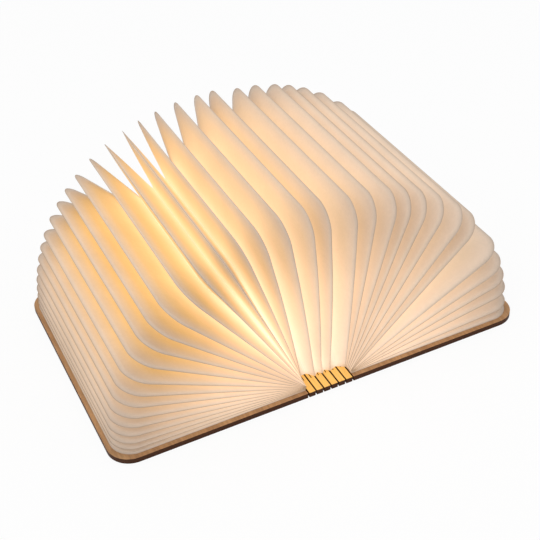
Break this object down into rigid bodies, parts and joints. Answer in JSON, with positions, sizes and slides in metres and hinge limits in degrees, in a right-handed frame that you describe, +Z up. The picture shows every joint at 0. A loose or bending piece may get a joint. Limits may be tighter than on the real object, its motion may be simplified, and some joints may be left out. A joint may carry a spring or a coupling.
{
  "type": "folding book lamp",
  "caption": "Book-shaped lamp: two wooden covers on a slit-cut bending spine, opening a fan of folded paper lit from inside by a light bar.",
  "frame": {"origin": "bottom centre of the open lamp, in the plane it rests on", "axes": "+X along the front edge to the right-hand cover, +Y back along the spine, +Z up"},
  "size_m": [0.344, 0.215, 0.1594],
  "materials": {
    "board": "satin veneer, charred edges",
    "paper": "matt fibre paper, lit from inside",
    "white_plastic": "matt",
    "lens": "frosted",
    "circuit_board": "solder mask",
    "led": "gloss",
    "cell": "foil",
    "black_plastic": "matt",
    "steel": "plain",
    "nickel": "nickel plate"
  },
  "bodies": {
    "left_cover": {"left_cover": "board", "left_endpaper": "paper", "left_magnets": "nickel"},
    "slat_1": {"slat_1": "board"},
    "slat_2": {"slat_2": "board"},
    "slat_3": {"slat_3": "board", "light_tray": "white_plastic", "light_lens": "lens", "led_board": "circuit_board", "leds": "led", "battery": "cell", "hall_sensor": "black_plastic", "charge_socket": "steel", "front_end_cap": "white_plastic", "rear_end_cap": "white_plastic", "tray_screws": "steel"},
    "slat_4": {"slat_4": "board"},
    "slat_5": {"slat_5": "board"},
    "slat_6": {"slat_6": "board"},
    "right_cover": {"right_cover": "board", "right_endpaper": "paper", "right_magnets": "nickel", "switch_magnet": "nickel"},
    "page_1": {"page_1": "paper"},
    "page_2": {"page_2": "paper"},
    "page_3": {"page_3": "paper"},
    "page_4": {"page_4": "paper"},
    "page_5": {"page_5": "paper"},
    "page_6": {"page_6": "paper"},
    "page_7": {"page_7": "paper"},
    "page_8": {"page_8": "paper"},
    "page_9": {"page_9": "paper"},
    "page_10": {"page_10": "paper"},
    "page_11": {"page_11": "paper"},
    "page_12": {"page_12": "paper"},
    "page_13": {"page_13": "paper"},
    "page_14": {"page_14": "paper"},
    "page_15": {"page_15": "paper"},
    "page_16": {"page_16": "paper"},
    "page_17": {"page_17": "paper"},
    "page_18": {"page_18": "paper"},
    "page_19": {"page_19": "paper"},
    "page_20": {"page_20": "paper"},
    "page_21": {"page_21": "paper"},
    "page_22": {"page_22": "paper"},
    "page_23": {"page_23": "paper"},
    "page_24": {"page_24": "paper"},
    "page_25": {"page_25": "paper"},
    "page_26": {"page_26": "paper"},
    "page_27": {"page_27": "paper"},
    "page_28": {"page_28": "paper"},
    "page_29": {"page_29": "paper"},
    "page_30": {"page_30": "paper"},
    "page_31": {"page_31": "paper"},
    "page_32": {"page_32": "paper"},
    "page_33": {"page_33": "paper"}
  },
  "joints": [
    {"name": "left_spine_fold", "type": "hinge", "parent": "left_cover", "child": "page_19", "pos_m": [-0.01519, 0, 0.0022], "axis": [0, -1, 0], "range_deg": [-86, 86]},
    {"name": "right_spine_fold", "type": "hinge", "parent": "page_19", "child": "right_cover", "pos_m": [0.01321, 0, 0.0022], "axis": [0, -1, 0], "range_deg": [-94, 94]},
    {"name": "spine_cut_1", "type": "hinge", "parent": "left_cover", "child": "slat_1", "pos_m": [-0.0189, 0, 0.0022], "axis": [0, -1, 0], "range_deg": [-26.92, 26.92]},
    {"name": "spine_cut_2", "type": "hinge", "parent": "slat_1", "child": "slat_2", "pos_m": [-0.0126, 0, 0.0022], "axis": [0, -1, 0], "range_deg": [-26.92, 26.92]},
    {"name": "spine_cut_3", "type": "hinge", "parent": "slat_2", "child": "slat_3", "pos_m": [-0.0063, 0, 0.0022], "axis": [0, -1, 0], "range_deg": [-26.92, 26.92]},
    {"name": "spine_cut_7", "type": "hinge", "parent": "right_cover", "child": "slat_6", "pos_m": [0.0189, 0, 0.0022], "axis": [0, 1, 0], "range_deg": [-26.41, 26.41]},
    {"name": "spine_cut_6", "type": "hinge", "parent": "slat_6", "child": "slat_5", "pos_m": [0.0126, 0, 0.0022], "axis": [0, 1, 0], "range_deg": [-26.41, 26.41]},
    {"name": "spine_cut_5", "type": "hinge", "parent": "slat_5", "child": "slat_4", "pos_m": [0.0063, 0, 0.0022], "axis": [0, 1, 0], "range_deg": [-26.41, 26.41]},
    {"name": "page_1_turn", "type": "hinge", "parent": "left_cover", "child": "page_1", "pos_m": [-0.0197, 0, 0.00489], "axis": [0, -1, 0], "range_deg": [-1.7, 1.7]},
    {"name": "page_2_turn", "type": "hinge", "parent": "page_1", "child": "page_2", "pos_m": [-0.01969, 0, 0.00517], "axis": [0, -1, 0], "range_deg": [-2.3, 2.3]},
    {"name": "page_3_turn", "type": "hinge", "parent": "page_2", "child": "page_3", "pos_m": [-0.01967, 0, 0.00545], "axis": [0, -1, 0], "range_deg": [-2.8, 2.8]},
    {"name": "page_4_turn", "type": "hinge", "parent": "page_3", "child": "page_4", "pos_m": [-0.01964, 0, 0.00573], "axis": [0, -1, 0], "range_deg": [-3.2, 3.2]},
    {"name": "page_5_turn", "type": "hinge", "parent": "page_4", "child": "page_5", "pos_m": [-0.01959, 0, 0.006], "axis": [0, -1, 0], "range_deg": [-3.5, 3.5]},
    {"name": "page_6_turn", "type": "hinge", "parent": "page_5", "child": "page_6", "pos_m": [-0.01953, 0, 0.00628], "axis": [0, -1, 0], "range_deg": [-4, 4]},
    {"name": "page_7_turn", "type": "hinge", "parent": "page_6", "child": "page_7", "pos_m": [-0.01944, 0, 0.00654], "axis": [0, -1, 0], "range_deg": [-4, 4]},
    {"name": "page_8_turn", "type": "hinge", "parent": "page_7", "child": "page_8", "pos_m": [-0.01934, 0, 0.0068], "axis": [0, -1, 0], "range_deg": [-4.5, 4.5]},
    {"name": "page_9_turn", "type": "hinge", "parent": "page_8", "child": "page_9", "pos_m": [-0.01922, 0, 0.00705], "axis": [0, -1, 0], "range_deg": [-5.5, 5.5]},
    {"name": "page_10_turn", "type": "hinge", "parent": "page_9", "child": "page_10", "pos_m": [-0.01907, 0, 0.00729], "axis": [0, -1, 0], "range_deg": [-5.3, 5.3]},
    {"name": "page_11_turn", "type": "hinge", "parent": "page_10", "child": "page_11", "pos_m": [-0.0189, 0, 0.00752], "axis": [0, -1, 0], "range_deg": [-5, 5]},
    {"name": "page_12_turn", "type": "hinge", "parent": "page_11", "child": "page_12", "pos_m": [-0.01871, 0, 0.00773], "axis": [0, -1, 0], "range_deg": [-5.4, 5.4]},
    {"name": "page_13_turn", "type": "hinge", "parent": "page_12", "child": "page_13", "pos_m": [-0.01851, 0, 0.00792], "axis": [0, -1, 0], "range_deg": [-6.7, 6.7]},
    {"name": "page_14_turn", "type": "hinge", "parent": "page_13", "child": "page_14", "pos_m": [-0.01828, 0, 0.00808], "axis": [0, -1, 0], "range_deg": [-6.4, 6.4]},
    {"name": "page_15_turn", "type": "hinge", "parent": "page_14", "child": "page_15", "pos_m": [-0.01804, 0, 0.00822], "axis": [0, -1, 0], "range_deg": [-6.7, 6.7]},
    {"name": "page_16_turn", "type": "hinge", "parent": "page_15", "child": "page_16", "pos_m": [-0.01778, 0, 0.00833], "axis": [0, -1, 0], "range_deg": [-5.7, 5.7]},
    {"name": "page_17_turn", "type": "hinge", "parent": "page_16", "child": "page_17", "pos_m": [-0.01751, 0, 0.00841], "axis": [0, -1, 0], "range_deg": [-5.9, 5.9]},
    {"name": "page_18_turn", "type": "hinge", "parent": "left_cover", "child": "page_18", "pos_m": [-0.01519, 0, 0.0022], "axis": [0, -1, 0], "range_deg": [-81.5, 81.5]},
    {"name": "page_20_turn", "type": "hinge", "parent": "right_cover", "child": "page_20", "pos_m": [0.01321, 0, 0.0022], "axis": [0, 1, 0], "range_deg": [-91.3, 91.3]},
    {"name": "page_33_turn", "type": "hinge", "parent": "right_cover", "child": "page_33", "pos_m": [0.0197, 0, 0.00489], "axis": [0, 1, 0], "range_deg": [-3.2, 3.2]},
    {"name": "page_32_turn", "type": "hinge", "parent": "page_33", "child": "page_32", "pos_m": [0.01968, 0, 0.00517], "axis": [0, 1, 0], "range_deg": [-5.8, 5.8]},
    {"name": "page_31_turn", "type": "hinge", "parent": "page_32", "child": "page_31", "pos_m": [0.01964, 0, 0.00545], "axis": [0, 1, 0], "range_deg": [-5.2, 5.2]},
    {"name": "page_30_turn", "type": "hinge", "parent": "page_31", "child": "page_30", "pos_m": [0.01957, 0, 0.00572], "axis": [0, 1, 0], "range_deg": [-5.8, 5.8]},
    {"name": "page_29_turn", "type": "hinge", "parent": "page_30", "child": "page_29", "pos_m": [0.01948, 0, 0.00598], "axis": [0, 1, 0], "range_deg": [-7.5, 7.5]},
    {"name": "page_28_turn", "type": "hinge", "parent": "page_29", "child": "page_28", "pos_m": [0.01935, 0, 0.00623], "axis": [0, 1, 0], "range_deg": [-14.2, 14.2]},
    {"name": "page_27_turn", "type": "hinge", "parent": "page_28", "child": "page_27", "pos_m": [0.01916, 0, 0.00644], "axis": [0, 1, 0], "range_deg": [-6.6, 6.6]},
    {"name": "page_26_turn", "type": "hinge", "parent": "page_27", "child": "page_26", "pos_m": [0.01895, 0, 0.00662], "axis": [0, 1, 0], "range_deg": [-8.5, 8.5]},
    {"name": "page_25_turn", "type": "hinge", "parent": "page_26", "child": "page_25", "pos_m": [0.01872, 0, 0.00678], "axis": [0, 1, 0], "range_deg": [-6.8, 6.8]},
    {"name": "page_24_turn", "type": "hinge", "parent": "page_25", "child": "page_24", "pos_m": [0.01847, 0, 0.0069], "axis": [0, 1, 0], "range_deg": [-5.7, 5.7]},
    {"name": "page_23_turn", "type": "hinge", "parent": "page_24", "child": "page_23", "pos_m": [0.0182, 0, 0.007], "axis": [0, 1, 0], "range_deg": [-5.1, 5.1]},
    {"name": "page_22_turn", "type": "hinge", "parent": "page_23", "child": "page_22", "pos_m": [0.01793, 0, 0.00708], "axis": [0, 1, 0], "range_deg": [-6.8, 6.8]},
    {"name": "page_21_turn", "type": "hinge", "parent": "page_22", "child": "page_21", "pos_m": [0.01766, 0, 0.00712], "axis": [0, 1, 0], "range_deg": [-6.2, 6.2]}
  ],
  "couplings": [
    {"joint": "right_spine_fold", "follows": "left_spine_fold", "ratio": 1.093},
    {"joint": "spine_cut_1", "follows": "left_spine_fold", "ratio": 0.31295},
    {"joint": "spine_cut_2", "follows": "left_spine_fold", "ratio": 0.31295},
    {"joint": "spine_cut_3", "follows": "left_spine_fold", "ratio": 0.31295},
    {"joint": "spine_cut_7", "follows": "left_spine_fold", "ratio": 0.30707},
    {"joint": "spine_cut_6", "follows": "left_spine_fold", "ratio": 0.30707},
    {"joint": "spine_cut_5", "follows": "left_spine_fold", "ratio": 0.30707},
    {"joint": "page_1_turn", "follows": "left_spine_fold", "ratio": 0.019767},
    {"joint": "page_2_turn", "follows": "left_spine_fold", "ratio": 0.026744},
    {"joint": "page_3_turn", "follows": "left_spine_fold", "ratio": 0.032558},
    {"joint": "page_4_turn", "follows": "left_spine_fold", "ratio": 0.037209},
    {"joint": "page_5_turn", "follows": "left_spine_fold", "ratio": 0.040698},
    {"joint": "page_6_turn", "follows": "left_spine_fold", "ratio": 0.046512},
    {"joint": "page_7_turn", "follows": "left_spine_fold", "ratio": 0.046512},
    {"joint": "page_8_turn", "follows": "left_spine_fold", "ratio": 0.052326},
    {"joint": "page_9_turn", "follows": "left_spine_fold", "ratio": 0.063953},
    {"joint": "page_10_turn", "follows": "left_spine_fold", "ratio": 0.061628},
    {"joint": "page_11_turn", "follows": "left_spine_fold", "ratio": 0.05814},
    {"joint": "page_12_turn", "follows": "left_spine_fold", "ratio": 0.062791},
    {"joint": "page_13_turn", "follows": "left_spine_fold", "ratio": 0.077907},
    {"joint": "page_14_turn", "follows": "left_spine_fold", "ratio": 0.074419},
    {"joint": "page_15_turn", "follows": "left_spine_fold", "ratio": 0.077907},
    {"joint": "page_16_turn", "follows": "left_spine_fold", "ratio": 0.066279},
    {"joint": "page_17_turn", "follows": "left_spine_fold", "ratio": 0.068605},
    {"joint": "page_18_turn", "follows": "left_spine_fold", "ratio": 0.94767},
    {"joint": "page_20_turn", "follows": "left_spine_fold", "ratio": 1.0616},
    {"joint": "page_33_turn", "follows": "left_spine_fold", "ratio": 0.037209},
    {"joint": "page_32_turn", "follows": "left_spine_fold", "ratio": 0.067442},
    {"joint": "page_31_turn", "follows": "left_spine_fold", "ratio": 0.060465},
    {"joint": "page_30_turn", "follows": "left_spine_fold", "ratio": 0.067442},
    {"joint": "page_29_turn", "follows": "left_spine_fold", "ratio": 0.087209},
    {"joint": "page_28_turn", "follows": "left_spine_fold", "ratio": 0.16512},
    {"joint": "page_27_turn", "follows": "left_spine_fold", "ratio": 0.076744},
    {"joint": "page_26_turn", "follows": "left_spine_fold", "ratio": 0.098837},
    {"joint": "page_25_turn", "follows": "left_spine_fold", "ratio": 0.07907},
    {"joint": "page_24_turn", "follows": "left_spine_fold", "ratio": 0.066279},
    {"joint": "page_23_turn", "follows": "left_spine_fold", "ratio": 0.059302},
    {"joint": "page_22_turn", "follows": "left_spine_fold", "ratio": 0.07907},
    {"joint": "page_21_turn", "follows": "left_spine_fold", "ratio": 0.072093}
  ]
}
